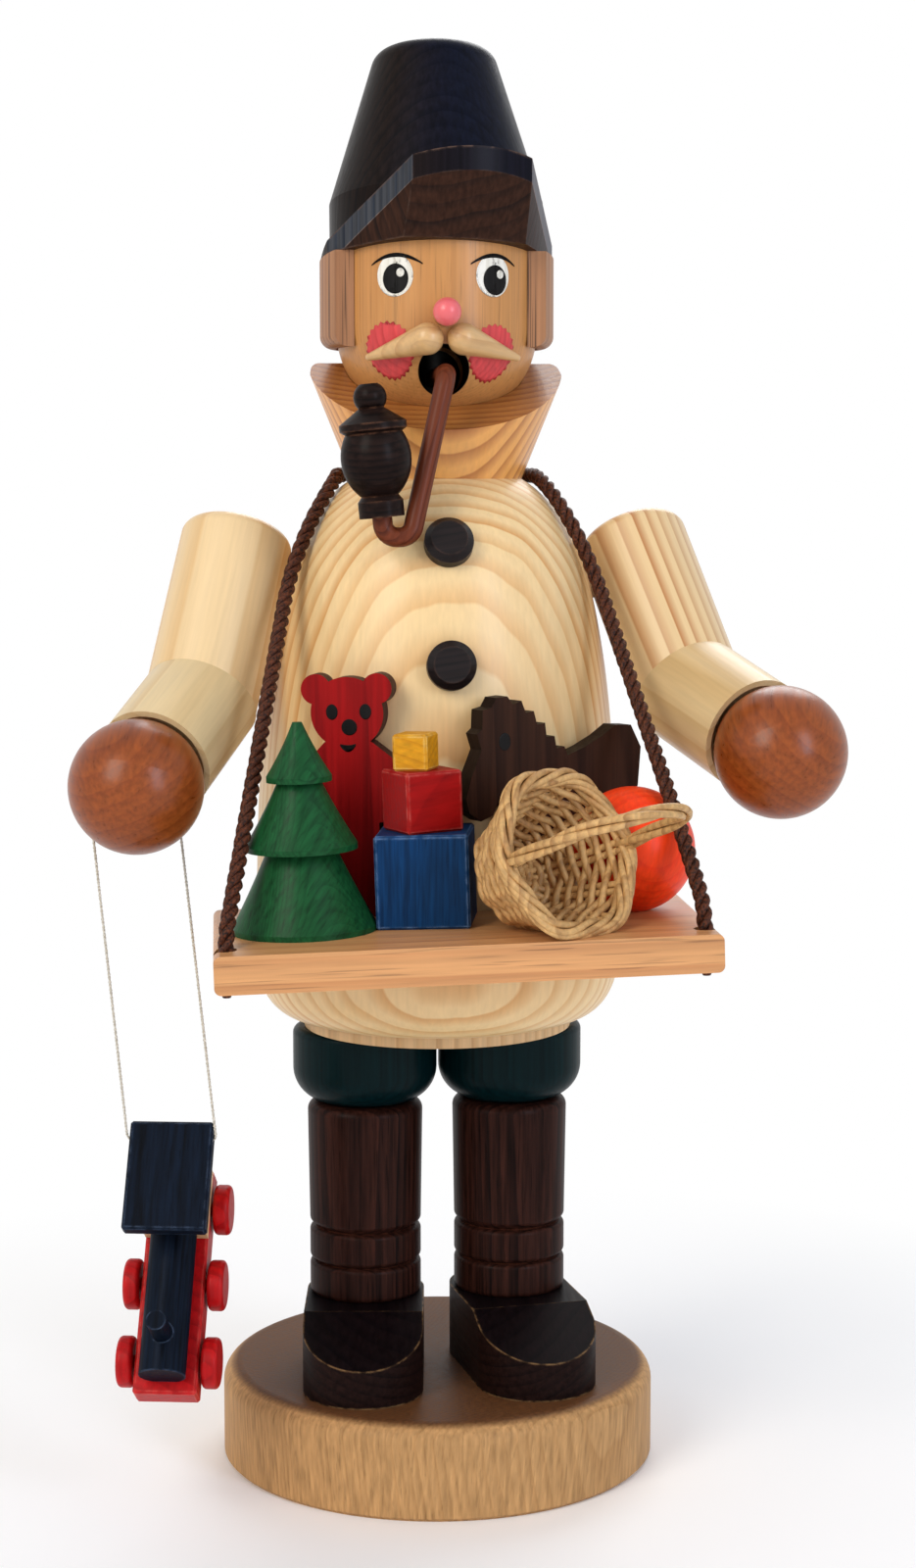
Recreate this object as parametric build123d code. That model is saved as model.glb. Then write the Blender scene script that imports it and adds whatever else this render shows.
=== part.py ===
"""Wooden incense smoker in the shape of a toy pedlar, in separate pieces. Millimetres, +Z up, face to -Y."""
import os
from math import asin, atan2, cos, degrees, pi, radians, sin, tan

from build123d import *

os.makedirs("parts", exist_ok=True)

# Fits
glue = 0.05                # room for glue round a dowel in its hole, on the radius
seat = 0.1                 # between two curved pieces laid against each other
turn_fit = 0.06            # dowel or axle that turns in its hole, on the radius
slide_fit = 0.1            # torso bore on the waist plug, on the radius
swing_gap = 0.35           # between pieces that move past each other
thread_fit = 0.2           # thread in its hole, on the radius

# Stand
base_r = 35.0
base_h = 15.0
base_edge = 3.0
base_foot = 0.6            # bevel under the base
ankle_x = 11.8             # centre of each leg from the middle
shoe_w = 19.0
shoe_len = 36.0
shoe_h = 11.7
shoe_heel = 10.5           # heel behind the leg's centre
shoe_toe_h = 6.0
shoe_flat = 12.5           # level top in front of the leg's centre
shoe_splay = 7.2
boot_h = 31.7
boot_r = 9.3
ring_r = 9.0
ring_h = 5.6
ring_edge = 0.8
boot_edge = 1.6
groove = 0.9
trouser_r = 11.7
trouser_h = 12.2
trouser_cuff = 5.5         # rounding at the foot
trouser_edge = 1.2
leg_dowel_r = 3.0
leg_dowel_sink = 8.0

# Waist plug and incense plate
plug_flange_r = 21.5
plug_flange_h = 2.0
plug_r = 16.9
plug_h = 8.0
plug_edge = 0.8
plug_hole_r = 2.0
plug_hole_off = 13.6
plate_r = 10.6
plate_t = 0.6
plate_rim = 1.6
plate_lip = 0.7
plate_bend = 0.8
tack_head_r = 1.8
tack_head_h = 0.8
tack_edge = 0.6
tack_r = 0.7
tack_len = 5.0

# Torso
torso_h = 85.5
torso_r = 29.2
chamber_top = 65.0         # straight part of the hollow, above the torso's foot
chamber_edge = 2.0
chamber_neck = 2.0         # straight neck of the hollow under the neck tube
neck_ledge = 8.0           # seat of the neck tube below the torso's top
neck_r = 6.0
smoke_r = 4.2
torso_side = ((0.80, 0.0), (0.90, 0.018), (0.99, 0.075), (1.0, 0.147), (0.99, 0.30), (0.962, 0.504),
              (0.92, 0.647), (0.862, 0.762), (0.764, 0.875), (0.66, 0.937), (0.55, 0.978), (0.46, 1.0))
button_r = 3.75
button_h = 2.7
button_bevel = 1.0
button_heights = (75.6, 57.5)
button_peg_r = 1.5
button_peg = 4.0

# Collar, head and hat
face_turn = -2.5           # head and buttons look a little to the figure's right
collar_h = 18.3
collar_r = 20.0
collar_front = 7.4         # height of the open collar's edge in front
collar_out = 3.0           # open edge in front of the torso's top
collar_rise = 27.0
collar_lip = 2.0
collar_edge = 0.9
head_r = 15.8
head_chin = 14.0
head_sink = 9.2            # chin below the collar's top
head_h = 24.7              # on the axis, up to the slanting hat seat
head_slant = 8.0
head_bore_r = 5.0
head_bore_top = 18.5
mouth_r = 3.9
mouth_z = 7.4
neck_in_head = 3.2
nose_r = 1.9
nose_tip_r = 2.15
nose_z = 15.9
nose_out = 4.2             # nose tip's centre in front of the face
nose_peg = 5.0
nose_peg_r = 1.15
drop_r = 2.45
drop_tip_r = 0.55
drop_in = (2.75, 1.1, 12.0)        # moustache: side, out from the face, up from the chin
drop_tip = (11.4, 1.0, 9.4)
hair_t = 2.5
hair_z = 11.2
hair_front = 8.5
hair_edge = 1.9
hat_turn = 11.3
hat_seat_r = 16.8
hat_wall = 9.0             # upright part of the crown
hat_top_r = 9.2
hat_h = 33.4
hat_top_edge = 3.2
hat_lean = 33.2            # brim against the level, rising to the front
hat_brim_r = 22.0
hat_brim_up = 15.6         # brim's upper edge in front, above the hat's seat
hat_brim_turn = 25.2       # front corners of the brim, from its middle
hat_side = (18.3, 2.4)     # end of the brim's sawn side: out and forward
hat_band = 3.6
hat_under = 14.0           # depth over which the brim's underside draws in
hat_under_front = 11.4
hat_under_corner = (10.2, 9.6)
hat_under_side = (17.4, 2.4)
hat_dowel_r = 3.0
hat_dowel_sink = 5.0

# Pipe
stem_r = 1.5
stem_socket = 3.0
stem_z = 6.8               # above the chin
stem_out = 3.5             # bend in front of the face
stem_bends = (3.0, 2.1, 2.1)
stem_run = 4.3             # stem's lower bend beside the bowl's foot
stem_fwd = 0.5
stem_drop = 3.0
bowl_at = (-11.4, -25.7, 152.4)
bowl_lean = 5.7
bowl_sink = 2.5
bowl_foot = (3.4, 2.4)     # pipe bowl, each ring: radius, height above the foot
bowl_waist = (2.8, 3.2)
bowl_belly = (5.25, 8.0)
bowl_neck = (4.3, 12.5)
bowl_lid = (5.05, 14.0)
bowl_lid_edge = 1.0
bowl_stalk = (1.9, 16.2)
bowl_knob = (2.45, 18.2)
bowl_top = (1.3, 19.8)

# Arms
arm_r = 8.8
arm_top = 6.5              # arm above the shoulder dowel
arm_len = 22.5             # shoulder dowel to elbow
fore_len = 25.6            # elbow to the hand's centre
shoulder_up = 69.0         # above the torso's foot
shoulder_fwd = 1.6
elbow_bend = 31.5
elbow_out = 16.5
arm_swings = (25.6, 33.4)  # right, left
arm_edge = 2.0
arm_flat = 0.26            # sanded off where the arm lies against the dome
hand_r = 10.0
cup_gap = 0.5
cup_rim = 0.9              # width of the forearm's rim round the hand
shoulder_dowel_r = 2.5
shoulder_dowel_in = 5.5
arm_dowel_r = 2.0
arm_dowel_in = 6.0

# Tray
tray_w = 72.0
tray_d = 42.0
tray_t = 5.5
tray_front = 59.0
tray_z = 93.2
tray_roll = 1.8
tray_turn = -2.5
tray_edge = 1.0
tray_dowel_r = 1.4
tray_dowel_x = 9.0
tray_dowel_in = 5.0
cord_r = 1.3
cord_hole_r = 1.75
cord_in = 1.7              # hole's middle from the tray's end
cord_back = 5.5            # hole's middle from the tray's front
cord_tail = (1.15, 1.3)     # end of the cord under the tray: radius, length
cord_wide = (25.6, 12.8, 15.2)     # cord beside the shoulder: side, front, below the collar
cord_dome = 7.0            # where the cord leaves the dome, below the collar
cord_over = 18.0
cord_loose = 0.6           # cord off the wood where it rounds the neck
cord_bends = (3.0, 8.0, 12.0, 4.0)

# Toys on the tray
tree_at = (-22.6, -39.6)
tree_r = (10.6, 8.2, 4.8)
tree_step = (12.0, 10.0, 8.6)
tree_neck = (5.1, 3.2, 0.7)
tree_lip = 0.8
tree_hollow = 0.25         # skirts curve in by this much
tree_belly = 0.55
bear_at = (-14.4, -27.6)
bear_turn = -17.5
bear_t = 3.0
bear_head = (5.6, 5.4, 30.7)       # half width, half height, middle above the tray
bear_ear = (2.3, 4.7, 34.3)        # radius, out from the middle, above the tray
bear_body = ((-5.4, 0), (4.4, 0), (4.4, 14.2), (7.0, 14.6), (7.4, 21.5), (7.2, 23.6), (3.6, 26.4),
             (-3.6, 26.4), (-6.5, 23.4), (-7.0, 20.0), (-6.4, 10.0))
blue_at = (-4.4, -37.2)
blue_side = 13.8
blue_turn = -9.3
red_at = (-4.6, -37.6)
red_side = 9.0
red_turn = 21.0
yellow_at = (-5.4, -38.0)
yellow_side = 5.4
yellow_turn = -24.0
block_edge = 0.35
horse_at = (15.4, -27.0)
horse_turn = 24.5
horse_t = 3.4
horse_side = ((-14.9, 15.6), (-13.0, 14.2), (-10.9, 14.9), (-9.5, 17.7), (-8.5, 18.0), (-7.8, 13.0),
              (-8.2, 5.9), (-8.5, 0), (-4.3, 0), (-3.8, 7.1), (-1.9, 10.2), (4.3, 10.2),
              (6.1, 7.1), (6.4, 0), (10.9, 0), (11.1, 7.1), (12.5, 14.2), (14.9, 17.3),
              (15.6, 23.2), (13.9, 26.7), (11.1, 26.9), (8.5, 25.3), (5.4, 23.9), (2.4, 22.9),
              (1.9, 24.3), (0.5, 24.1), (0.2, 26.0), (-1.2, 26.0), (-1.4, 28.1), (-2.8, 27.9),
              (-3.3, 30.0), (-4.7, 29.8), (-5.4, 31.7), (-6.9, 31.2), (-7.8, 32.5), (-9.7, 32.4),
              (-10.6, 31.0), (-12.1, 30.7), (-12.3, 27.9), (-13.2, 27.2), (-12.5, 24.8), (-14.4, 20.8),
              (-15.4, 17.7))
basket_at = (17.6, -55.9)  # lowest point of the rim
basket_turn = 37.0
basket_rim_r = 12.5
basket_foot_r = 7.3
basket_depth = 13.3
basket_wall = 2.0
basket_floor = 1.6
basket_lie = 0.12          # flattened where it lies on the tray
handle_r = 0.95
handle_rise = 19.8
ball_at = (26.8, -34.2)
ball_r = 9.4
ball_flat = 0.25

# Train on its thread
thread_r = 0.25
thread_bend = 0.7
thread_drop = 47.0
thread_lean = 4.8
thread_half = 5.9          # half the span at the hand
thread_in = 1.4
thread_hole = (4.8, 7.1)   # behind and below the hand's centre
train_turn = -11.0
train_edge = 0.35
frame_len = 35.0
frame_w = 9.6
frame_h = 5.0
axle_r = 1.0
axle_z = 2.3
axle_x = 5.5               # outer axles in from the frame's ends
wheel_r = 3.85
wheel_t = 2.5
wheel_edge = 0.7
boiler_r = 3.5
boiler_end = 1.8           # boiler's front behind the frame's front
boiler_flat = 0.5
cab_len = 10.5
cab_back = 0.5
cab_h = 10.5
roof_len = 17.0
roof_w = 12.6
roof_t = 2.6
roof_back = 3.0
roof_tie = 2.7             # thread holes ahead of the roof's back edge
chimney_r = 1.5
chimney_h = 6.0
chimney_back = 7.5
chimney_sink = 2.5

# Heights that follow from the sizes
shoe_z = base_h
boot_z = shoe_z + shoe_h
trouser_z = boot_z + boot_h
flange_z = trouser_z + trouser_h
torso_z = flange_z + plug_flange_h
plug_top = torso_z + plug_h
bore_r = plug_r + slide_fit
collar_z = torso_z + torso_h
collar_top = collar_z + collar_h
head_z = collar_top - head_sink
seat_z = head_z + head_h
ledge_z = collar_z - neck_ledge


def turned(*corners):
    """Solid of revolution round Z through (radius, height, rounding) corners."""
    rounding = [corner[2] for corner in corners]
    outline = FilletPolyline(*[corner[:2] for corner in corners], radius=rounding, close=True)
    return revolve(Plane.XZ * make_face(outline), Axis.Z)


def rod(radius, start, end):
    """Round rod between two points."""
    line = Vector(*end) - Vector(*start)
    plane = Plane(origin=start, z_dir=line)
    return plane * Cylinder(radius, line.length, align=(Align.CENTER, Align.CENTER, Align.MIN))


def upright(radius, height, z=0.0):
    """Cylinder standing on height z."""
    return Pos(0, 0, z) * Cylinder(radius, height, align=(Align.CENTER, Align.CENTER, Align.MIN))


def mirrored(piece):
    """Same piece on the figure's other side."""
    return mirror(piece, Plane.YZ)


def above(plane, size=200.0):
    """Everything on the upper side of a plane."""
    return plane * Box(size, size, size, align=(Align.CENTER, Align.CENTER, Align.MIN))


def tube(radius, points, bends):
    """Round cord along straight runs joined by arcs, with the route's length."""
    route = FilletPolyline(*points, radius=bends)
    return sweep(Plane(origin=route @ 0, z_dir=route % 0) * Circle(radius), route), route.length


pieces = {}

# Base: a thick round plate with a rounded top edge
base = turned((0, 0, 0), (base_r - base_foot, 0, 0), (base_r, base_foot, 0), (base_r, base_h, base_edge),
              (0, base_h, 0))
dowel_z = base_h - leg_dowel_sink
leg_spots = (Pos(-ankle_x, 0, 0), Pos(ankle_x, 0, 0))
for spot in leg_spots:
    base -= spot * upright(leg_dowel_r + glue, leg_dowel_sink, dowel_z)
pieces["base_plate"] = base

# Shoes: flat-soled blocks with round ends, level under the boot and slanting to the toe
sole = Pos(0, shoe_heel - shoe_len / 2) * SlotOverall(shoe_len, shoe_w, rotation=90)
shoe = extrude(sole, shoe_h)
toe_y = shoe_heel - shoe_len
slant = Plane.YZ * make_face(Polyline((-shoe_flat, shoe_h), (toe_y, shoe_toe_h), (toe_y - shoe_h, shoe_toe_h),
                                      (toe_y - shoe_h, 2 * shoe_h), (-shoe_flat, 2 * shoe_h), close=True))
shoe -= extrude(slant, shoe_w, both=True)
shoe -= upright(leg_dowel_r + glue, shoe_h)
pieces["left_shoe"] = Pos(ankle_x, 0, shoe_z) * Rot(0, 0, shoe_splay) * shoe
pieces["right_shoe"] = mirrored(pieces["left_shoe"])

# Boots: turned legs with two rings above the ankle and a rounded shaft
ring_top = 2 * ring_h
half = groove / 2
boot = turned((0, 0, 0), (ring_r, 0, ring_edge), (ring_r, ring_h - half, ring_edge),
              (ring_r - groove, ring_h, 0), (ring_r, ring_h + half, ring_edge),
              (ring_r, ring_top - half, ring_edge), (ring_r - groove, ring_top, 0),
              (ring_r, ring_top + groove, ring_edge), (boot_r, boot_h, boot_edge), (0, boot_h, 0))
boot -= upright(leg_dowel_r + glue, boot_h)
pieces["left_boot"] = Pos(ankle_x, 0, boot_z) * boot
pieces["right_boot"] = Pos(-ankle_x, 0, boot_z) * boot

# Trousers: plump turned rings over the boots
trouser_w = trouser_r - seat
trouser = turned((0, 0, 0), (trouser_w, 0, trouser_cuff), (trouser_w, trouser_h, trouser_edge),
                 (0, trouser_h, 0))
trouser -= upright(leg_dowel_r + glue, trouser_h)
pieces["left_trouser"] = Pos(ankle_x, 0, trouser_z) * trouser
pieces["right_trouser"] = Pos(-ankle_x, 0, trouser_z) * trouser

# Leg dowels: one long rod through each leg, from the base into the waist plug
dowel_top = flange_z + plug_flange_h + plug_h / 2
dowel = upright(leg_dowel_r, dowel_top - dowel_z, dowel_z)
pieces["leg_dowels"] = Compound(children=[spot * dowel for spot in leg_spots])

# Waist plug: flange that carries the torso, spigot inside it, two air holes up to the incense
plug = upright(plug_flange_r, plug_flange_h, flange_z) + upright(plug_r, plug_h, torso_z)
plug = chamfer(plug.edges().sort_by(Axis.Z)[-1], plug_edge)
for spot in leg_spots:
    plug -= spot * upright(leg_dowel_r + glue, dowel_top - flange_z, flange_z)
for side in (-plug_hole_off, plug_hole_off):
    plug -= Pos(0, side, 0) * upright(plug_hole_r, plug_flange_h + plug_h, flange_z)
plug -= upright(tack_r + glue, tack_len, plug_top - tack_len)
pieces["waist_plug"] = plug

# Incense plate: thin brass dish with a turned-up rim, held by one tack
plate = turned((0, 0, 0), (plate_r - plate_rim, 0, plate_bend), (plate_r, plate_rim, 0),
               (plate_r - plate_lip, plate_rim, 0), (plate_r - plate_rim - plate_lip / 2, plate_t, 0),
               (0, plate_t, 0))
plate -= upright(tack_r + glue, plate_t)
pieces["incense_plate"] = Pos(0, 0, plug_top) * plate
tack_foot = -tack_len - plate_t
tack = turned((0, tack_foot, 0), (tack_r, tack_foot, 0), (tack_r, 0, 0), (tack_head_r, 0, 0),
              (tack_head_r, tack_head_h, tack_edge), (0, tack_head_h, 0))
pieces["plate_tack"] = Pos(0, 0, plug_top + plate_t) * tack

# Torso: hollow turned dome; the side curve also places the buttons, arms and tray
side_curve = Spline(*[(torso_r * r, torso_z + torso_h * z) for r, z in torso_side])


def on_torso(height):
    """Radius of the torso and its outward lean in degrees at a height."""
    low, high = 0.0, 1.0
    for _ in range(40):
        middle = (low + high) / 2
        low, high = (middle, high) if (side_curve @ middle).Y < height else (low, middle)
    lean = side_curve % low
    return (side_curve @ low).X, degrees(atan2(-lean.X, lean.Y))


top_r = torso_r * torso_side[-1][0]
foot_r = torso_r * torso_side[0][0]
shell_edge = Polyline((top_r, collar_z), (0, collar_z), (0, torso_z), (foot_r, torso_z))
torso = revolve(Plane.XZ * make_face(Curve() + side_curve + shell_edge), Axis.Z)
cone_top = ledge_z - chamber_neck
chamber_z = torso_z + chamber_top
peg_r = neck_r + glue
torso -= turned((0, torso_z, 0), (bore_r, torso_z, 0), (bore_r, chamber_z, chamber_edge),
                (smoke_r, cone_top, 0), (smoke_r, ledge_z, 0), (peg_r, ledge_z, 0), (peg_r, collar_z, 0),
                (0, collar_z, 0))

# Buttons: two turned knobs with a bevelled edge, pegged into the chest
button = turned((0, 0, 0), (button_r, 0, 0), (button_r, button_h - button_bevel, 0),
                (button_r - button_bevel, button_h, 0), (0, button_h, 0))
button += upright(button_peg_r, button_peg, -button_peg)
buttons = []
for height in button_heights:
    radius, lean = on_torso(torso_z + height)
    place = Rot(0, 0, face_turn) * Pos(0, -radius, torso_z + height) * Rot(90 - lean, 0, 0)
    torso -= place * upright(button_peg_r + glue, button_peg + button_h, -button_peg)
    torso -= place * upright(button_r + glue, button_h, 0)
    buttons.append(place * button)
pieces["coat_buttons"] = Compound(children=buttons)

# Neck tube: open dowel that carries the collar and head and leads the smoke up
neck_top = head_z + neck_in_head
neck_len = neck_top - ledge_z
pieces["neck_tube"] = upright(neck_r, neck_len, ledge_z) - upright(smoke_r, neck_len, ledge_z)

# Head: turned cylinder with a round chin, slanting top, smoke bore and mouth
face = Rot(0, 0, face_turn)
hat_seat = Pos(0, 0, seat_z) * Rot(-head_slant, 0, 0)
head_top = head_z + 2 * head_h
blank = turned((0, head_z, 0), (head_r, head_z, head_chin), (head_r, head_top, 0), (0, head_top, 0))
head = blank - above(Plane(hat_seat))
head -= upright(neck_r + glue, neck_in_head, head_z)
head -= upright(head_bore_r, head_bore_top, head_z)
mouth_at = head_z + mouth_z
head -= rod(mouth_r, (0, 0, mouth_at), (0, -2 * head_r, mouth_at))
stem_at = head_z + stem_z
socket_y = head_bore_r + stem_socket
head -= rod(stem_r + glue, (0, 0, stem_at), (0, socket_y, stem_at))
nose_at = head_z + nose_z
head -= rod(nose_peg_r + glue, (0, -head_r + nose_peg, nose_at), (0, -2 * head_r, nose_at))
head -= hat_seat * upright(hat_dowel_r + glue, hat_dowel_sink, -hat_dowel_sink)
pieces["head"] = face * head

# Collar: open cup cut low in front, hollowed for the chin
collar = turned((0, collar_z, 0), (top_r, collar_z, 0), (collar_r, collar_top - collar_lip, 0),
                (collar_r, collar_top, collar_edge), (0, collar_top, 0))
front_edge = Vector(0, -top_r - collar_out, collar_z + collar_front)
open_front = Plane(origin=front_edge, z_dir=(0, -tan(radians(collar_rise)), 1))
collar -= above(open_front)
cup_r = head_r + seat
collar -= turned((0, head_z, 0), (cup_r, head_z, head_chin), (cup_r, head_top, 0), (0, head_top, 0))
collar -= upright(neck_r + glue, collar_h, collar_z)
pieces["collar"] = face * collar

# Nose: turned peg with a round tip
nose_y = -head_r - nose_out
nose = rod(nose_r, (0, -head_r + nose_r, nose_at), (0, nose_y, nose_at))
nose += Pos(0, nose_y, nose_at) * Sphere(nose_tip_r)
nose -= upright(head_r, head_h, head_z)
nose += rod(nose_peg_r, (0, -head_r + nose_peg, nose_at), (0, nose_y, nose_at))
pieces["nose"] = face * nose

# Moustache: two drops lying on the face
inner = (drop_in[0], -head_r - drop_in[1], head_z + drop_in[2])
tip_r = head_r + drop_tip[1]
tip = (drop_tip[0], -(tip_r ** 2 - drop_tip[0] ** 2) ** 0.5, head_z + drop_tip[2])
drop_line = Vector(*tip) - Vector(*inner)
drop_len = drop_line.length
flare = asin((drop_r - drop_tip_r) / drop_len)
low, high = (flare - pi / 2) / 2, (flare + pi / 2) / 2
root = (drop_r * cos(flare), drop_r * sin(flare))
end = (drop_tip_r * cos(flare), drop_len + drop_tip_r * sin(flare))
drop_end = (0, drop_len + drop_tip_r)
drop_side = ThreePointArc((0, -drop_r), (drop_r * cos(low), drop_r * sin(low)), root) + Line(root, end)
drop_side += ThreePointArc(end, (drop_tip_r * cos(high), drop_len + drop_tip_r * sin(high)), drop_end)
drop_side += Line(drop_end, (0, -drop_r))
drop = Plane(origin=inner, z_dir=drop_line).location * revolve(Plane.XZ * make_face(drop_side), Axis.Z)
skin_r = head_r + seat / 2
drop -= turned((0, head_z, 0), (skin_r, head_z, head_chin), (skin_r, head_top, 0), (0, head_top, 0))
pieces["left_moustache"] = face * drop
pieces["right_moustache"] = face * mirrored(drop)

# Hair: half ring round the back of the head
hair_r = head_r + seat
hair = turned((hair_r, head_z + hair_z, 0), (hair_r + hair_t, head_z + hair_z, hair_edge),
              (hair_r + hair_t, head_top, 0), (hair_r, head_top, 0))
hair -= above(Plane(hat_seat))
hair -= above(Plane(origin=(0, -hair_front, head_z), z_dir=(0, -1, 0)))
pieces["hair"] = face * hair

# Hat: tapering crown; its brim is turned up in front, undercut to the head and sawn flat at both sides
def brim_edge(front, corner, side):
    """Brim seen from above: round front, straight sides and round back."""
    left, right = (-corner[0], -corner[1]), (corner[0], -corner[1])
    back_left, back_right = (-side[0], -side[1]), (side[0], -side[1])
    edge = ThreePointArc(left, (0, -front), right) + Line(right, back_right)
    return make_face(edge + ThreePointArc(back_right, (0, side[0]), back_left) + Line(back_left, left))


tip_up = radians(hat_lean)
brim_turn = radians(hat_brim_turn)
brim_upper = Plane(origin=(0, -hat_brim_r, hat_brim_up), z_dir=(0, sin(tip_up), cos(tip_up)))
brim_lower = brim_upper.offset(-hat_band * cos(tip_up))
brim_deep = brim_lower.offset(-hat_under * cos(tip_up))
brim_corner = (hat_brim_r * sin(brim_turn), hat_brim_r * cos(brim_turn))
brim_block = extrude(brim_edge(hat_brim_r, brim_corner, hat_side), 2 * hat_h, both=True)
under_block = extrude(brim_edge(hat_under_front, hat_under_corner, hat_under_side), 2 * hat_h, both=True)
rim = brim_block - above(brim_upper) - above(Plane(origin=brim_lower.origin, z_dir=-brim_lower.z_dir))
undercut = loft([section(brim_block, section_by=brim_lower).faces()[0],
                 section(under_block, section_by=brim_deep).faces()[0]], ruled=True)
brim = Pos(0, 0, seat_z) * Rot(0, 0, hat_turn) * (rim + undercut)
brim -= above(Plane(origin=(0, 0, seat_z), z_dir=-Plane(hat_seat).z_dir))
crown = turned((0, 0, 0), (hat_seat_r, 0, 0), (hat_seat_r, hat_wall, 0), (hat_top_r, hat_h, hat_top_edge),
               (0, hat_h, 0))
hat = hat_seat * crown + brim
hat -= hat_seat * upright(hat_dowel_r + glue, hat_dowel_sink)
pieces["hat"] = face * hat
pieces["hat_dowel"] = face * hat_seat * upright(hat_dowel_r, 2 * hat_dowel_sink, -hat_dowel_sink)

# Pipe: bent stem from the mouth to the foot of a turned bowl with a lid
bowl_place = Pos(*bowl_at) * Rot(0, -bowl_lean, 0)
stem_from = (face * Pos(0, socket_y, stem_at)).position
stem_bend = (face * Pos(0, -head_r - stem_out, stem_at)).position
bowl_base = bowl_place.position
stem_end = (bowl_place * Pos(0, 0, bowl_sink)).position
stem_low = (bowl_place * Pos(0, 0, -stem_drop)).position
stem_turn = Vector(bowl_base.X + stem_run, bowl_base.Y - stem_fwd, stem_low.Z)
stem, stem_length = tube(stem_r, (stem_from, stem_bend, stem_turn, stem_low, stem_end), stem_bends)
pieces["pipe_stem"] = stem
lid_foot = bowl_lid[1] - bowl_lid_edge
bowl_side = Polyline((0, 0), (bowl_foot[0], 0), bowl_foot, bowl_waist)
bowl_side += ThreePointArc(bowl_waist, bowl_belly, bowl_neck)
bowl_side += Polyline(bowl_neck, (bowl_lid[0], lid_foot), bowl_lid, bowl_stalk)
bowl_side += ThreePointArc(bowl_stalk, bowl_knob, bowl_top)
bowl_side += Polyline(bowl_top, (0, bowl_top[1]), (0, 0))
bowl = revolve(Plane.XZ * make_face(bowl_side), Axis.Z)
bowl -= upright(stem_r + glue, bowl_sink)
pieces["pipe_bowl"] = bowl_place * bowl

# Arms: dowels set against the dome, mitred at the elbow, with a ball hand in a cupped end.
# In the arm's own frame x points forward, y down along the arm and z out from the dome.
shoulder_z = torso_z + shoulder_up
shoulder_r, shoulder_lean = on_torso(shoulder_z)
tilt = radians(shoulder_lean)
shoulder_at = Vector(shoulder_r, -shoulder_fwd, shoulder_z)
shoulder = Plane(origin=shoulder_at, x_dir=(0, -1, 0), z_dir=(cos(tilt), 0, sin(tilt)))
arm_off = arm_r - arm_flat + swing_gap
bend, spread = radians(elbow_bend), radians(elbow_out)
elbow = Vector(0, arm_len, arm_off)
fore = Vector(sin(bend) * cos(spread), cos(bend) * cos(spread), sin(spread))
hand_at = elbow + fore * fore_len
miter = Plane(origin=elbow, z_dir=fore + Vector(0, 1, 0))
cup_r = hand_r + cup_gap
cup_back = (cup_r ** 2 - (arm_r - cup_rim) ** 2) ** 0.5
wrist = hand_at - fore * cup_back
upper = rod(arm_r, (0, -arm_top, arm_off), elbow + Vector(0, 2 * arm_r, 0))
upper = fillet(upper.edges().sort_by(Axis.Y)[0], arm_edge)
upper -= above(miter)
upper -= above(Plane(origin=(0, 0, swing_gap), z_dir=(0, 0, -1)))
upper -= upright(shoulder_dowel_r + glue, arm_off)
forearm = rod(arm_r, elbow - fore * 2 * arm_r, wrist) & above(miter)
forearm -= Pos(hand_at) * Sphere(cup_r)
elbow_line = miter.z_dir * arm_dowel_in
elbow_rod = (elbow - elbow_line, elbow + elbow_line)
wrist_rod = (hand_at - fore * (hand_r + arm_dowel_in), hand_at - fore * (hand_r - arm_dowel_in))
upper -= rod(arm_dowel_r + glue, *elbow_rod)
forearm -= rod(arm_dowel_r + glue, *elbow_rod)
forearm -= rod(arm_dowel_r + glue, *wrist_rod)
hand = Pos(hand_at) * Sphere(hand_r) - rod(arm_dowel_r + glue, *wrist_rod)
peg_len = shoulder_dowel_in + arm_off
shoulder_peg = upright(shoulder_dowel_r, peg_len, -shoulder_dowel_in)
arm_pieces = {"upper_arm": upper, "forearm": forearm, "hand": hand, "shoulder_dowel": shoulder_peg,
              "elbow_dowel": rod(arm_dowel_r, *elbow_rod), "wrist_dowel": rod(arm_dowel_r, *wrist_rod)}
for side, swing in zip(("right", "left"), arm_swings):
    place = shoulder.location * Rot(0, 0, -swing)
    for name, piece in arm_pieces.items():
        placed = place * piece
        pieces[f"{side}_{name}"] = placed if side == "left" else mirrored(placed)
peg_hole = shoulder.location * upright(shoulder_dowel_r + turn_fit, peg_len, -shoulder_dowel_in)
torso -= peg_hole
torso -= mirrored(peg_hole)
arm_place = shoulder.location * Rot(0, 0, -arm_swings[0])
held = (arm_place * Pos(hand_at)).position
hand_middle = Vector(-held.X, held.Y, held.Z)

# Tray: board notched round the belly, on two dowels, with a cord hole at each front corner
tray_place = Pos(0, 0, tray_z) * Rot(0, -tray_roll, tray_turn)
belly_r = max(on_torso(tray_z - tray_t)[0], on_torso(tray_z)[0])
tray = Pos(0, tray_d / 2 - tray_front, -tray_t / 2) * Box(tray_w, tray_d, tray_t)
tray = fillet(tray.edges().filter_by(Axis.Y), tray_edge)
hole_x = tray_w / 2 - cord_in
hole_y = cord_back - tray_front
for side in (-hole_x, hole_x):
    tray -= Pos(side, hole_y, 0) * upright(cord_hole_r, tray_t, -tray_t)
tray = tray_place * tray - upright(belly_r + 2 * seat, 2 * tray_z)
notch_y = (belly_r ** 2 - tray_dowel_x ** 2) ** 0.5
tray_rods = []
for side in (-tray_dowel_x, tray_dowel_x):
    rod_ends = ((side, tray_dowel_in - notch_y, -tray_t / 2), (side, -tray_dowel_in - notch_y, -tray_t / 2))
    tray_rods.append(tray_place * rod(tray_dowel_r, *rod_ends))
    hole = tray_place * rod(tray_dowel_r + glue, *rod_ends)
    torso -= hole
    tray -= hole
pieces["torso"] = torso
pieces["tray"] = tray
pieces["tray_dowels"] = Compound(children=tray_rods)

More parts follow.
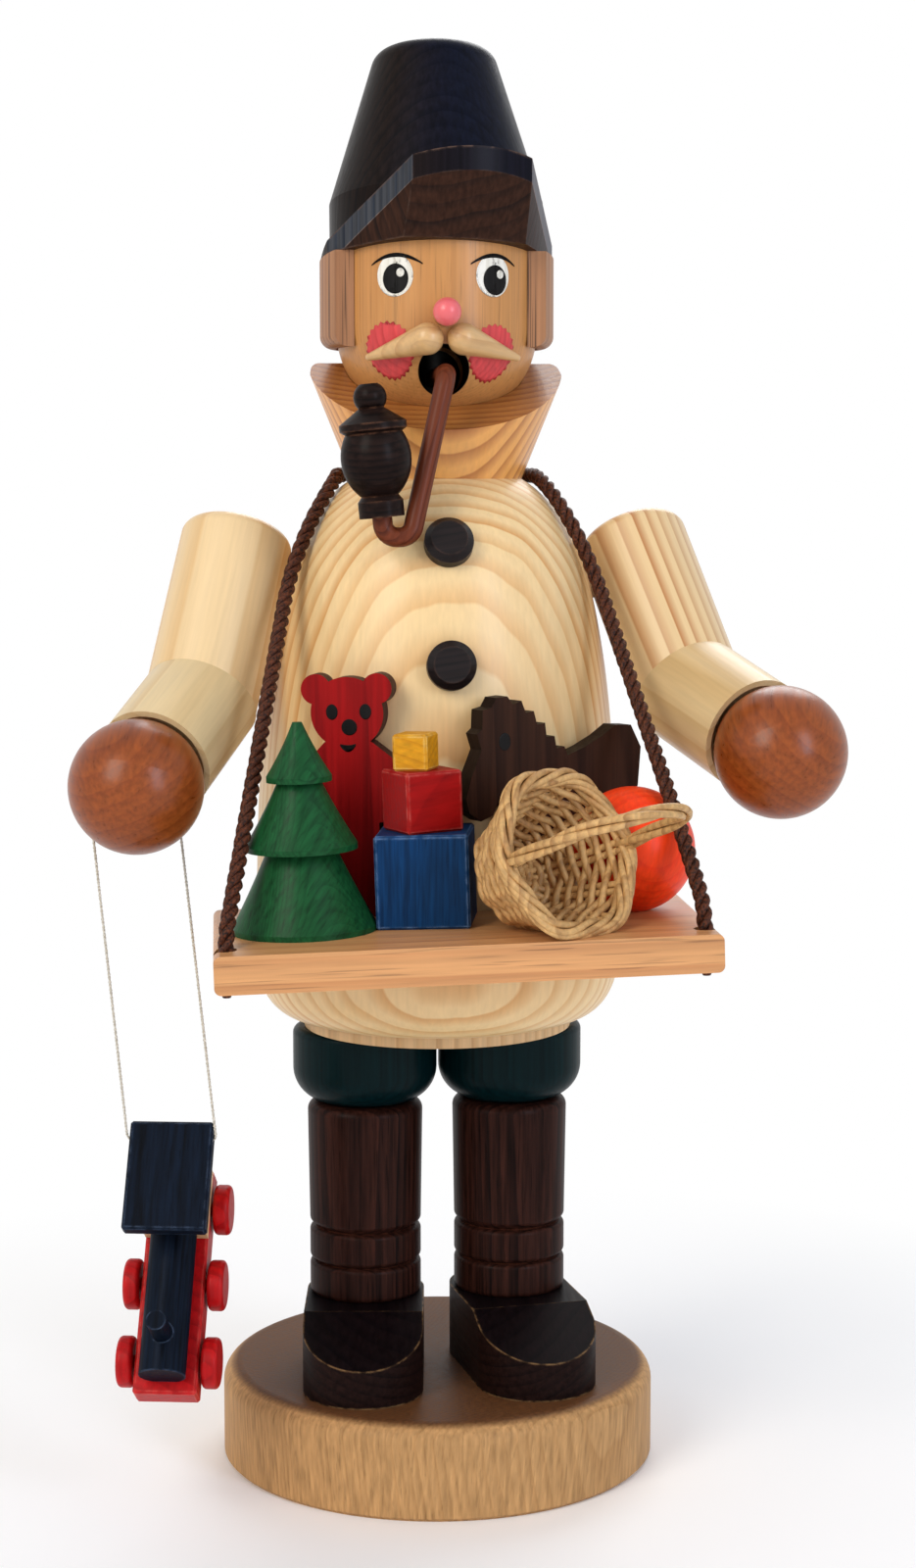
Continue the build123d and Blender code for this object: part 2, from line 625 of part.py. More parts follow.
# Neck cord: taut from each front corner over the shoulder and round under the collar
loop_r = top_r + cord_r + cord_loose
loop_z = collar_z + cord_loose
bend_r = loop_r - 2 * cord_loose / 3
dome_z = collar_z - cord_dome
over_r, over_lean = on_torso(dome_z)
over_gap = cord_r + cord_loose
over_z = dome_z + over_gap * sin(radians(over_lean))
over_r += over_gap * cos(radians(over_lean))
cord_turn = radians(cord_over)
cord_side = []
for side in (-hole_x, hole_x):
    sign = 1 if side > 0 else -1
    cord_side.append([(tray_place * Pos(side, hole_y, -tray_t)).position,
                      (tray_place * Pos(side, hole_y, cord_r)).position,
                      Vector(sign * cord_wide[0], -cord_wide[1], collar_z - cord_wide[2]),
                      Vector(sign * over_r * cos(cord_turn), -over_r * sin(cord_turn), over_z),
                      Vector(sign * (loop_r + cord_loose), -cord_loose, loop_z)])
corner_r = loop_r / cos(pi / 8)
corners = [pi * step / 8 for step in (7, 5, 3, 1)]
back = [Vector(corner_r * cos(turn), corner_r * sin(turn), loop_z) for turn in corners]
cord_points = cord_side[0] + back + cord_side[1][::-1]
pieces["neck_cord"], cord_length = tube(cord_r, cord_points, cord_bends + (bend_r,) * 4 + cord_bends[::-1])
tail = turned((0, -cord_tail[1], 0), (cord_tail[0] / 2, -cord_tail[1], 0), (cord_tail[0], 0, 0), (0, 0, 0))
tails = [tray_place * Pos(side, hole_y, -tray_t) * tail for side in (-hole_x, hole_x)]
pieces["cord_ends"] = Compound(children=tails)


def on_tray(spot, turn, piece):
    """Piece stood on the tray at a spot, turned about the upright."""
    return tray_place * Pos(spot[0], spot[1], 0) * Rot(0, 0, turn) * piece


# Fir tree: three turned skirts
tree_side = Line((0, 0), (tree_r[0], 0))
foot = 0.0
for radius, neck, step in zip(tree_r, tree_neck, tree_step):
    lip = (radius, foot + tree_lip)
    middle = ((radius + neck) / 2 - tree_hollow, foot + step * tree_belly)
    tree_side += Line((radius, foot), lip) + ThreePointArc(lip, middle, (neck, foot + step))
    foot += step
    outer = dict(zip(tree_r, tree_r[1:])).get(radius, 0)
    tree_side += Line((neck, foot), (outer, foot))
tree_side += Line((0, foot), (0, 0))
pieces["fir_tree"] = on_tray(tree_at, 0, revolve(Plane.XZ * make_face(tree_side), Axis.Z))

# Bear: sawn from a board, round ears on a round head
bear_face = Pos(0, bear_head[2]) * Ellipse(bear_head[0], bear_head[1])
for side in (-bear_ear[1], bear_ear[1]):
    bear_face += Pos(side, bear_ear[2]) * Circle(bear_ear[0])
bear_face += make_face(Polyline(*bear_body, close=True))
bear = extrude(Plane.XZ * bear_face, bear_t / 2, both=True)
pieces["bear"] = on_tray(bear_at, bear_turn, bear)

# Building blocks: three cubes in a stack
stack = 0.0
blocks = (("blue_block", blue_at, blue_side, blue_turn), ("red_block", red_at, red_side, red_turn),
          ("yellow_block", yellow_at, yellow_side, yellow_turn))
for name, spot, side, turn in blocks:
    block = Pos(0, 0, stack + side / 2) * Box(side, side, side)
    pieces[name] = on_tray(spot, turn, chamfer(block.edges(), block_edge))
    stack += side

# Horse: sawn from a board, head lowered, toothed mane
horse_face = make_face(Polyline(*horse_side, close=True))
pieces["horse"] = on_tray(horse_at, horse_turn, extrude(Plane.XZ * horse_face, horse_t / 2, both=True))

# Basket: bowl lying on its side with an arched handle across the rim
lie = degrees(atan2(basket_rim_r - basket_foot_r, basket_depth))
basket = turned((0, 0, 0), (basket_foot_r, 0, 0), (basket_rim_r, basket_depth, 0),
                (basket_rim_r - basket_wall, basket_depth, 0), (basket_foot_r - basket_wall, basket_floor, 0),
                (0, basket_floor, 0))
lay = Pos(0, 0, -basket_lie) * Rot(90 - lie, 0, 0) * Pos(0, basket_rim_r, -basket_depth)
basket = lay * basket - above(Plane(origin=(0, 0, 0), z_dir=(0, 0, -1)))
pieces["basket"] = on_tray(basket_at, basket_turn, basket)
arch_r = basket_rim_r - basket_wall / 2
arch_top = basket_depth + handle_rise
spring = arch_top - arch_r
arch = Line((-arch_r, basket_depth), (-arch_r, spring))
arch += ThreePointArc((-arch_r, spring), (0, arch_top), (arch_r, spring))
arch += Line((arch_r, spring), (arch_r, basket_depth))
arch = Plane.XZ * Wire(arch.edges())
handle = sweep(Plane(origin=arch @ 0, z_dir=arch % 0) * Circle(handle_r), arch)
pieces["basket_handle"] = on_tray(basket_at, basket_turn, lay * handle)

# Ball, resting on a small flat
ball = Pos(0, 0, ball_r - ball_flat) * Sphere(ball_r) - above(Plane(origin=(0, 0, 0), z_dir=(0, 0, -1)))
pieces["ball"] = on_tray(ball_at, 0, ball)

# Train in its own frame: x to the front, z to the roof
frame_bar = Pos(frame_len / 2, 0, frame_h / 2) * Box(frame_len, frame_w, frame_h)
frame_bar = chamfer(frame_bar.edges(), train_edge)
axles = [axle_x, frame_len / 2, frame_len - axle_x]
for x in axles:
    frame_bar -= rod(axle_r + turn_fit, (x, -frame_w, axle_z), (x, frame_w, axle_z))
boiler_x = frame_len - boiler_end
boiler_z = frame_h + boiler_r - boiler_flat
cab_front = cab_back + cab_len
boiler = rod(boiler_r, (cab_front, 0, boiler_z), (boiler_x, 0, boiler_z))
boiler &= above(Plane(origin=(0, 0, frame_h)))
chimney_x = frame_len - chimney_back
chimney_z = boiler_z + boiler_r - chimney_sink
boiler -= Pos(chimney_x, 0, 0) * upright(chimney_r + glue, 2 * chimney_sink, chimney_z)
chimney = Pos(chimney_x, 0, 0) * upright(chimney_r, chimney_sink + chimney_h, chimney_z)
cab = Pos(cab_back + cab_len / 2, 0, frame_h + cab_h / 2) * Box(cab_len, frame_w, cab_h)
roof_z = frame_h + cab_h
roof = Pos(roof_len / 2 - roof_back, 0, roof_z + roof_t / 2) * Box(roof_len, roof_w, roof_t)
roof = chamfer(roof.edges(), train_edge)
tie_x = roof_tie - roof_back
tie_z = roof_z + roof_t / 2
tie_half = roof_w / 2
for side in (-1, 1):
    roof -= rod(thread_r + glue, (tie_x, side * (tie_half - thread_in), tie_z), (tie_x, side * roof_w, tie_z))
wheel_y = frame_w / 2 + swing_gap + wheel_t / 2
wheel = fillet(Cylinder(wheel_r, wheel_t).edges(), wheel_edge)
wheel -= Cylinder(axle_r + glue, 2 * wheel_t)
axle_half = wheel_y + wheel_t / 2


def wheelset(x):
    """Two wheels on their axle."""
    rims = [Pos(x, side * wheel_y, axle_z) * Rot(90, 0, 0) * wheel for side in (-1, 1)]
    return Compound(children=rims + [rod(axle_r, (x, -axle_half, axle_z), (x, axle_half, axle_z))])


wheels = [wheelset(x) for x in axles]

# Hang the train so that its middle of mass is under the thread's holes
train_pieces = {"train_frame": frame_bar, "train_boiler": boiler, "train_cab": cab, "train_roof": roof,
                "train_chimney": chimney, "rear_wheels": wheels[0], "middle_wheels": wheels[1],
                "front_wheels": wheels[2]}
mass = sum(piece.volume for piece in train_pieces.values())
weigh = [(piece.center(CenterOf.MASS), piece.volume) for piece in train_pieces.values()]
mass_x = sum(middle.X * volume for middle, volume in weigh) / mass
mass_z = sum(middle.Z * volume for middle, volume in weigh) / mass
hang = atan2(tie_z - mass_z, mass_x - tie_x)
yaw = radians(train_turn)
across = Vector(cos(yaw), sin(yaw), 0)
ahead = Vector(sin(yaw), -cos(yaw), 0)
pivot = hand_middle + Vector(0, thread_hole[0], -thread_hole[1])
tied = pivot - Vector(0, 0, thread_drop) + across * thread_lean
nose_dir = ahead * sin(hang) - Vector(0, 0, 1) * cos(hang)
roof_dir = ahead * cos(hang) + Vector(0, 0, 1) * sin(hang)
train_at = tied - nose_dir * tie_x - roof_dir * tie_z
train_place = Plane(origin=train_at, x_dir=nose_dir, z_dir=roof_dir).location
for name, piece in train_pieces.items():
    pieces[name] = train_place * piece

# Thread: through the hand and down to both sides of the roof
tie_out = across * (tie_half + thread_r + thread_fit)
tie_in = across * (tie_half - thread_in)
span = across * thread_half
thread_points = (tied - tie_in, tied - tie_out, pivot - span, pivot + span, tied + tie_out, tied + tie_in)
pieces["hanging_thread"], thread_length = tube(thread_r, thread_points, (thread_bend,) * 4)
pieces["right_hand"] -= rod(thread_r + thread_fit, pivot - across * hand_r, pivot + across * hand_r)

for name, piece in pieces.items():
    export_step(piece, f"parts/{name}.step")

print("neck cord length", round(cord_length, 1))
print("thread length", round(thread_length, 1))
print("pipe stem length", round(stem_length, 1))
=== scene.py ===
from math import atan2, cos, pi, radians, sin, sqrt

import bmesh
import bpy
from mathutils import Matrix, Vector


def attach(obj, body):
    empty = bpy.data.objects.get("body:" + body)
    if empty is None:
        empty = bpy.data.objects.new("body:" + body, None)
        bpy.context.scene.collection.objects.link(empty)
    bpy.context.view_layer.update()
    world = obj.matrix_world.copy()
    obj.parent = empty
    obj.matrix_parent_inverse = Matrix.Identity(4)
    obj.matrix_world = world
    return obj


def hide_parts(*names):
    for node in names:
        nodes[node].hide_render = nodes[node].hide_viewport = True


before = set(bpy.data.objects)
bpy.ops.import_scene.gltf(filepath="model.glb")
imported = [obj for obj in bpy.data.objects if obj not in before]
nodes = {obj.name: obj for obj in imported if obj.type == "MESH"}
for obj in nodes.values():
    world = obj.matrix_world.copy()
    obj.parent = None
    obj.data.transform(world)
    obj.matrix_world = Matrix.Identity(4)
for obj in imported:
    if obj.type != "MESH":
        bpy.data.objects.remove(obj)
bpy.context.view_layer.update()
scene = bpy.context.scene
scene.view_settings.view_transform = "Standard"


# Studio: a white floor that fades into an even white room, and three soft lamps.
# The eye stands a little to the figure's right and looks down on it slightly.
def node(tree, kind, *values, out=0, **settings):
    """Adds a shader node, sets or links its inputs in order, and gives one of its outputs."""
    made = tree.nodes.new("ShaderNode" + kind)
    for key, value in settings.items():
        setattr(made, key, value)
    for socket, value in zip(made.inputs, values):
        if isinstance(value, bpy.types.NodeSocket):
            tree.links.new(value, socket)
        elif value is not None:
            socket.default_value = value
    return made.outputs[out]


def rgb(red, green, blue):
    """Linear colour from the 0 to 255 values that a screen shows."""
    seen = [value / 255 for value in (red, green, blue)]
    linear = [v / 12.92 if v <= 10 / 255 else ((v + 0.055) / 1.055) ** 2.4 for v in seen]
    return (*linear, 1.0)


def blend(tree, share, first, second):
    """Colour between two others. A Mix node has its colours in inputs 6 and 7 and in output 2."""
    return node(tree, "Mix", share, None, None, None, None, None, first, second, out=2, data_type="RGBA")


def length_of(tree, vector):
    """Length of a vector."""
    return node(tree, "VectorMath", vector, out="Value", operation="LENGTH")


def new_finish(name):
    """A new material, with its node tree and its shader."""
    made = bpy.data.materials.new(name)
    made.use_nodes = True
    return made, made.node_tree, made.node_tree.nodes["Principled BSDF"]


def seen_ray(tree):
    """1 for what the eye sees directly, in gloss or through glass."""
    path = tree.nodes.new("ShaderNodeLightPath")
    gloss = node(tree, "Math", path.outputs["Is Camera Ray"], path.outputs["Is Glossy Ray"], operation="MAXIMUM")
    return node(tree, "Math", gloss, path.outputs["Is Transmission Ray"], operation="MAXIMUM")


pure_white = (1, 1, 1, 1)
room_light = 0.56
world = bpy.data.worlds.new("white_room")
scene.world = world
world.use_nodes = True
room = world.node_tree
even = node(room, "Background", rgb(240, 242, 248), room_light)
white = node(room, "Background", pure_white, 1.0)
mixed = node(room, "MixShader", seen_ray(room), even, white)
room.links.new(mixed, room.nodes["World Output"].inputs["Surface"])

floor_half, fade_from, fade_to, fleck_scale = 4.0, 0.06, 0.17, 30.0
paper, tree, matt = new_finish("floor_paper")
spot = node(tree, "TexCoord", out="Object")
tone = blend(tree, node(tree, "TexNoise", spot, None, fleck_scale), rgb(251, 251, 251), rgb(254, 254, 254))
tree.links.new(tone, matt.inputs["Base Color"])
matt.inputs["Roughness"].default_value = 0.9
far = node(tree, "MapRange", length_of(tree, spot), fade_from, fade_to)
shown = node(tree, "Math", far, seen_ray(tree), operation="MULTIPLY")
faded = node(tree, "MixShader", shown, matt.outputs[0], node(tree, "Emission", pure_white, 1.0))
tree.links.new(faded, tree.nodes["Material Output"].inputs["Surface"])
bm = bmesh.new()
bmesh.ops.create_grid(bm, x_segments=2, y_segments=2, size=floor_half)
floor_mesh = bpy.data.meshes.new("floor")
bm.to_mesh(floor_mesh)
floor = bpy.data.objects.new("floor", floor_mesh)
scene.collection.objects.link(floor)
floor_mesh.materials.append(paper)


def lamp(name, place, aim, size, power, colour):
    """A soft rectangular light that points at its aim."""
    light = bpy.data.lights.new(name, "AREA")
    light.shape = "RECTANGLE"
    light.size, light.size_y = size
    light.energy = power
    light.color = colour[:3]
    holder = bpy.data.objects.new(name, light)
    holder.location = place
    holder.rotation_euler = (Vector(aim) - Vector(place)).to_track_quat("-Z", "Y").to_euler()
    scene.collection.objects.link(holder)


lamp("window_left", (-0.75, -0.75, 0.75), aim=(0, 0, 0.11), size=(0.5, 0.7), power=7.2, colour=rgb(255, 248, 236))
lamp("window_right", (0.55, -0.85, 0.45), aim=(0, 0, 0.12), size=(0.28, 0.6), power=3.8, colour=rgb(222, 234, 255))
lamp("back_rim", (0.3, 0.8, 0.8), aim=(0, 0, 0.12), size=(0.6, 0.6), power=4.0, colour=rgb(255, 255, 255))

look_down, look_right = 6.32, 7.5
eye = bpy.data.cameras.new("eye")
eye.lens = 63.0
eye.sensor_width = 36.0
eye.clip_start = 0.01
eye_holder = bpy.data.objects.new("eye", eye)
eye_holder.location = (-0.05384, -0.4347, 0.1579)
eye_holder.rotation_euler = (radians(90 - look_down), 0, radians(-look_right))
scene.collection.objects.link(eye_holder)
scene.camera = eye_holder


# Base: a thick round plate of pale beech, turned with a rounded top edge and a small bevel underneath.
# Fine upright lines stand on its side, and the top is stained brown where the shoes are glued on.
def dot(tree, first, second):
    """How far one vector reaches along another, if that one's length is 1."""
    return node(tree, "VectorMath", first, second, out="Value", operation="DOT_PRODUCT")


def scaled(tree, vector, factor):
    """A vector or a colour times a number, which is a Vector Math node's input 3."""
    return node(tree, "VectorMath", vector, None, None, factor, operation="SCALE")


def roughen(tree, shader, height, strength):
    """Raises the surface by a pattern, by a fifth of a millimetre at most."""
    bump = tree.nodes.new("ShaderNodeBump")
    bump.inputs["Strength"].default_value = strength
    bump.inputs["Distance"].default_value = 0.0002
    tree.links.new(height, bump.inputs["Height"])
    tree.links.new(bump.outputs[0], shader.inputs["Normal"])


# Patterns in the wood, as repeats in a metre, and the width of a paler edge band: rubbed wear, and on the hat also a
# painted highlight
sway_scale, fibre_scale, pore_scale, edge_patch_scale = 90.0, 1500.0, 2600.0, 600.0
edge_band_width = 0.0005


def wood(name, early, late, ring=2.0, pith=(0, 0, 0), along=(0, 0, 1), wobble=1.0, fibre=0.2, rough=0.4,
         coat=0.3, gloss=0.5, late_from=0.45, streak=0.05, pores=0.0, edge=None, changes=()):
    """Lacquered wood: growth rings round a pith line, with fibres drawn out along it. Sizes in millimetres.

    Each ring goes from the early colour to the late one, which begins at late_from. A small streak means long
    fibres. Pores are dark dashes, edge is the paler colour of rubbed edges, which on the hat is partly a painted
    highlight, and changes are pairs of a mask and a tone.
    """
    made, tree, shader = new_finish(name)

    # Place in the log: how far from the pith line, and how far along it
    axis = Vector(along).normalized()
    at = node(tree, "TexCoord", out="Object")
    rel = node(tree, "VectorMath", at, Vector(pith) / 1000, operation="SUBTRACT")
    height = dot(tree, rel, axis)
    run = scaled(tree, axis, height)
    across = node(tree, "VectorMath", rel, run, operation="SUBTRACT")
    drawn = node(tree, "VectorMath", across, scaled(tree, run, streak), operation="ADD")

    # Rings, some years darker than others
    slow = node(tree, "TexNoise", drawn, None, sway_scale, 2.0)
    swayed = node(tree, "Math", slow, wobble / 1000, length_of(tree, across), operation="MULTIPLY_ADD")
    count = node(tree, "Math", swayed, ring / 1000, operation="DIVIDE")
    ramp = tree.nodes.new("ShaderNodeValToRGB")
    tree.links.new(node(tree, "Math", count, operation="FRACT"), ramp.inputs[0])
    stops = ramp.color_ramp.elements
    stops[0].position, stops[0].color = late_from, (0, 0, 0, 1)
    stops[1].position, stops[1].color = 0.93, (1, 1, 1, 1)
    stops.new(1.0).color = (0, 0, 0, 1)
    year = node(tree, "Math", count, operation="FLOOR")
    luck = node(tree, "TexWhiteNoise", None, year, noise_dimensions="1D")
    weight = node(tree, "Math", luck, 0.55, 0.45, operation="MULTIPLY_ADD")
    rings = node(tree, "Math", ramp.outputs[0], weight, operation="MULTIPLY")
    colour = blend(tree, rings, early, late)

    # Fibres, pores, stains and rubbed edges
    fine = node(tree, "TexNoise", drawn, None, fibre_scale, 3.0)
    colour = scaled(tree, colour, node(tree, "MapRange", fine, 0.25, 0.75, 1.0 - fibre, 1.0 + fibre * 0.35))
    if pores:
        dash = node(tree, "TexNoise", drawn, None, pore_scale, 1.0)
        colour = scaled(tree, colour, node(tree, "MapRange", dash, 0.62, 0.72, 1.0, 1.0 - pores))
    for mask, tone in changes:
        colour = blend(tree, mask(tree), colour, tone(tree, colour) if callable(tone) else tone)
    if edge:
        rounded = node(tree, "Bevel", edge_band_width, samples=4)
        turn = dot(tree, rounded, node(tree, "NewGeometry", out="Normal"))
        patchy = node(tree, "MapRange", node(tree, "TexNoise", at, None, edge_patch_scale, 3.0), 0.4, 0.58, 0.1, 0.9)
        rub_and_highlight = node(tree, "MapRange", turn, 0.985, 0.9)
        colour = blend(tree, node(tree, "Math", rub_and_highlight, patchy, operation="MULTIPLY"), colour, edge)
    tree.links.new(colour, shader.inputs["Base Color"])

    # Lacquer over the raised grain
    roughen(tree, shader, fine, strength=0.12)
    sheen = node(tree, "MapRange", fine, 0.3, 0.7, rough - 0.05, rough + 0.08)
    tree.links.new(sheen, shader.inputs["Roughness"])
    shader.inputs["Specular IOR Level"].default_value = gloss
    shader.inputs["Coat Weight"].default_value = coat
    shader.inputs["Coat Roughness"].default_value = 0.22
    return made


def facing(direction, low, high):
    """Share of a surface that faces a direction, from none at low to all at high."""
    def mask(tree):
        turned = dot(tree, node(tree, "TexCoord", out="Normal"), Vector(direction).normalized())
        return node(tree, "MapRange", turned, low, high)
    return mask


def deeper(red, green, blue):
    """A stain that lets the grain through: the wood's colour times this one."""
    def tone(tree, colour):
        return node(tree, "VectorMath", colour, (red, green, blue), operation="MULTIPLY")
    return tone


def dress(finish, *names):
    """Gives CAD pieces their finish."""
    for name in names:
        mesh = nodes[name].data
        mesh.materials.clear()
        mesh.materials.append(finish)


base_finish = wood("base_beech", rgb(194, 150, 100), rgb(180, 136, 88), ring=0.8, pith=(-52, 46, 0),
                   along=(0.04, 0.12, 1), wobble=2.2, fibre=0.36, rough=0.45, coat=0.0, gloss=0.06, streak=0.09,
                   pores=0.18, changes=[(facing((0, 0, 1), 0.75, 0.97), deeper(0.25, 0.19, 0.185))])
dress(base_finish, "base_plate")

# Shoes: sawn blocks of beech with a sloping rounded toe, stained black brown.
# Their sharp edges are rubbed through to the pale wood.
shoe_finish = wood("shoe_stain", rgb(34, 20, 17), rgb(18, 11, 11), ring=1.6, pith=(0, 0, 60), along=(0.1, 1, 0),
                   fibre=0.5, rough=0.42, coat=0.02, gloss=0.03, edge=rgb(150, 116, 78),
                   changes=[(facing((0, -0.3, 1), 0.2, 0.7), deeper(0.4, 0.5, 0.75))])
dress(shoe_finish, "right_shoe", "left_shoe")

# Boots: beech shafts turned with two beads at the ankle, stained brown so that upright grain shows.
# A long dowel holds each one between shoe and trouser.
boot_finish = wood("boot_stain", rgb(56, 30, 23), rgb(20, 10, 9), ring=0.9, pith=(0, 30, 0), wobble=1.6,
                   fibre=0.75, rough=0.42, coat=0.02, gloss=0.05, streak=0.05, late_from=0.15, pores=0.5,
                   edge=rgb(84, 46, 32))
dress(boot_finish, "right_boot", "left_boot")

# Trousers: two plump rings of turned wood, threaded on the leg dowels.
# The dark blue green stain leaves a little of the grain.
trouser_finish = wood("trouser_stain", rgb(3, 28, 31), rgb(2, 19, 22), ring=1.0, pith=(0, 40, 0), fibre=0.4,
                      rough=0.36, coat=0.05, gloss=0.05, streak=0.03)
dress(trouser_finish, "right_trouser", "left_trouser")

# Dowels, waist plug and neck tube: bare beech, hidden inside the figure, with neither stain nor lacquer.
# They are glued into their holes, but the shoulder pegs turn in the torso, and the torso lifts off the plug.
bare_finish = wood("bare_beech", rgb(214, 178, 130), rgb(190, 148, 98), ring=2.2, pith=(30, 0, 0), rough=0.6,
                   coat=0.0)
dress(bare_finish, "leg_dowels", "waist_plug", "hat_dowel", "tray_dowels", "neck_tube", "right_shoulder_dowel",
      "left_shoulder_dowel", "right_elbow_dowel", "left_elbow_dowel", "right_wrist_dowel", "left_wrist_dowel")

# Incense plate and tack: stamped brass, nailed on the waist plug, where the cone burns.
# Ash has dulled it in patches.
ash_scale = 400.0
brass, tree, shader = new_finish("dull_brass")
ash = node(tree, "TexNoise", node(tree, "TexCoord", out="Object"), None, ash_scale, 4.0)
tree.links.new(blend(tree, ash, rgb(206, 164, 84), rgb(120, 104, 78)), shader.inputs["Base Color"])
tree.links.new(node(tree, "MapRange", ash, 0.3, 0.7, 0.25, 0.55), shader.inputs["Roughness"])
shader.inputs["Metallic"].default_value = 1.0
dress(brass, "incense_plate", "plate_tack")

# Torso: a hollow dome of pine, turned with the heart behind it, so that its rings stand as arches on the chest.
# It lifts off the waist plug and is clear lacquered.
torso_finish = wood("coat_pine", rgb(238, 205, 150), rgb(212, 152, 84), ring=1.65, pith=(1.5, 42, 0), wobble=1.7,
                    fibre=0.08, rough=0.42, coat=0.2, gloss=0.35, late_from=0.4)
dress(torso_finish, "torso")

# Buttons: two turned beech knobs with a bevelled rim, pegged into the chest.
# They are stained black and a little rubbed at the rim.
button_finish = wood("button_stain", rgb(30, 22, 22), rgb(15, 12, 14), ring=0.9, pith=(0, 0, 60),
                     along=(1, 0, 0.15), fibre=0.4, rough=0.36, coat=0.1, gloss=0.12, edge=rgb(64, 46, 40))
dress(button_finish, "coat_buttons")

# Collar: an open cup of warm pine turned to a cone and cut off at a slant.
# The sawn slant drinks more lacquer and shows its rings as dark stripes.
collar_finish = wood("collar_pine", rgb(234, 168, 90), rgb(166, 92, 40), ring=1.5, pith=(0, 40, 0), wobble=0.9,
                     fibre=0.1, rough=0.4, coat=0.3, gloss=0.4, late_from=0.35,
                     changes=[(facing((0, 0, 1), 0.45, 0.75), deeper(0.5, 0.4, 0.34))])
dress(collar_finish, "collar")


# Head: a lime cylinder with a round chin, bored for the smoke; the inside of the mouth's bore is coloured near
# black.
# Fine upright grain under clear lacquer.
def near(centre, reach, soft, line=None):
    """Share of a surface within reach of a point, or of a line through it. Millimetres."""
    def mask(tree):
        spot = node(tree, "TexCoord", out="Object")
        rel = node(tree, "VectorMath", spot, Vector(centre) / 1000, operation="SUBTRACT")
        if line:
            rel = node(tree, "VectorMath", rel, Vector(line).normalized(), operation="CROSS_PRODUCT")
        return node(tree, "MapRange", length_of(tree, rel), (reach + soft) / 1000, (reach - soft) / 1000)
    return mask


head_r, chin_r, chin_top, mouth_r = 15.8, 14.0, 181.2, 3.95
face_turn = Matrix.Rotation(radians(-2.5), 4, "Z")
ahead = face_turn @ Vector((0, -1, 0))
mouth = face_turn @ Vector((0, -10, 174.6))
# The mask round the mouth's axis colours the inside of its bore near black.
head_finish = wood("head_lime", rgb(197, 138, 77), rgb(188, 128, 68), ring=0.45, pith=(20, 90, 0), wobble=0.8,
                   fibre=0.15, rough=0.42, coat=0.2, gloss=0.35, streak=0.03, pores=0.22,
                   changes=[(near(mouth, mouth_r, 0.04, ahead), rgb(12, 8, 6))])
dress(head_finish, "head")


# Eyes, brows and cheeks: thin strokes and dabs of enamel on the lacquered face.
# The cheeks are stamped with a toothed rim.
paint_thick = 0.00004


def dab(steps, teeth=0.0, count=24):
    """Round patch of radius 1, its rim toothed if asked."""
    bm = bmesh.new()
    spoke = [bm.verts.new((r, 0, 0)) for r in (0, 0.35, 0.65, 0.88, 1.0)]
    line = [bm.edges.new(pair) for pair in zip(spoke, spoke[1:])]
    bmesh.ops.spin(bm, geom=spoke + line, cent=(0, 0, 0), axis=(0, 0, 1), angle=2 * pi, steps=steps,
                   use_merge=True)
    bmesh.ops.remove_doubles(bm, verts=bm.verts[:], dist=1e-5)
    for v in bm.verts:
        if v.co.length > 0.95:
            v.co *= 1 + teeth * cos(count * atan2(v.co.y, v.co.x))
    return bm


def stroke(bend):
    """Brush stroke from x -1 to 1, bowed by bend and thinner at its ends."""
    bm = bmesh.new()
    bmesh.ops.create_grid(bm, x_segments=20, y_segments=2, size=1.0)
    for v in bm.verts:
        thin = 1 - 0.7 * v.co.x ** 2
        v.co = (v.co.x, v.co.y * thin, bend * v.co.x ** 2)
    return bm


def placed(name, mesh, finish, body, slot, *replaced):
    """Puts a finished mesh into the scene on its body."""
    piece = bpy.data.objects.new(name, mesh)
    scene.collection.objects.link(piece)
    mesh.materials.clear()
    mesh.materials.append(finish)
    for face in mesh.polygons:
        face.use_smooth = True
    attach(piece, body)
    if replaced:
        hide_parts(*replaced)
    return piece


def paint(name, bm, finish, slot, spot, half, onto, lift):
    """Lays a flat patch onto a surface, as thick as a coat of paint. Millimetres."""
    for v in bm.verts:
        v.co = onto(spot[0] + v.co.x * half[0], spot[1] + v.co.y * half[1] + v.co.z, lift) / 1000
    bmesh.ops.solidify(bm, geom=bm.faces[:], thickness=paint_thick)
    bmesh.ops.recalc_face_normals(bm, faces=bm.faces[:])
    mesh = bpy.data.meshes.new(name)
    bm.to_mesh(mesh)
    placed(name, mesh, finish, "torso", slot)


def on_face(along, height, lift):
    """Place on the head's skin, from the way round it and the height."""
    drop = max(0.0, chin_top - height)
    skin = head_r - (chin_r - sqrt(chin_r ** 2 - drop ** 2)) + lift
    return face_turn @ Vector((skin * sin(along / head_r), -skin * cos(along / head_r), height))


def face_paint(name, bm, finish, spot, half, lift):
    """Lays a patch onto the face."""
    paint(name, bm, finish, "face_wood", spot, half, on_face, lift)


white_finish = wood("enamel_white", rgb(238, 234, 222), rgb(222, 216, 200), ring=0.7, pith=(0, 60, 0),
                    fibre=0.08, rough=0.3)
black_finish = wood("enamel_black", rgb(20, 18, 18), rgb(12, 11, 11), ring=0.7, pith=(0, 60, 0), fibre=0.2,
                    rough=0.3, coat=0.08, gloss=0.1)
cheek_finish = wood("enamel_red", rgb(218, 72, 74), rgb(200, 56, 58), ring=0.62, pith=(20, 90, 0), fibre=0.25,
                    rough=0.45, coat=0.1, gloss=0.3, streak=0.012)
eye_height, brow_height, brow_bow, brow_half, cheek_teeth = 188.9, 191.95, -1.4, 0.3, 0.05
eye_half, pupil_half, light_half, cheek_half = (3.0, 3.2), (2.1, 2.25), (0.65, 0.65), (4.2, 4.3)
first_coat, brow_coat, second_coat, third_coat = 0.06, 0.08, 0.12, 0.18
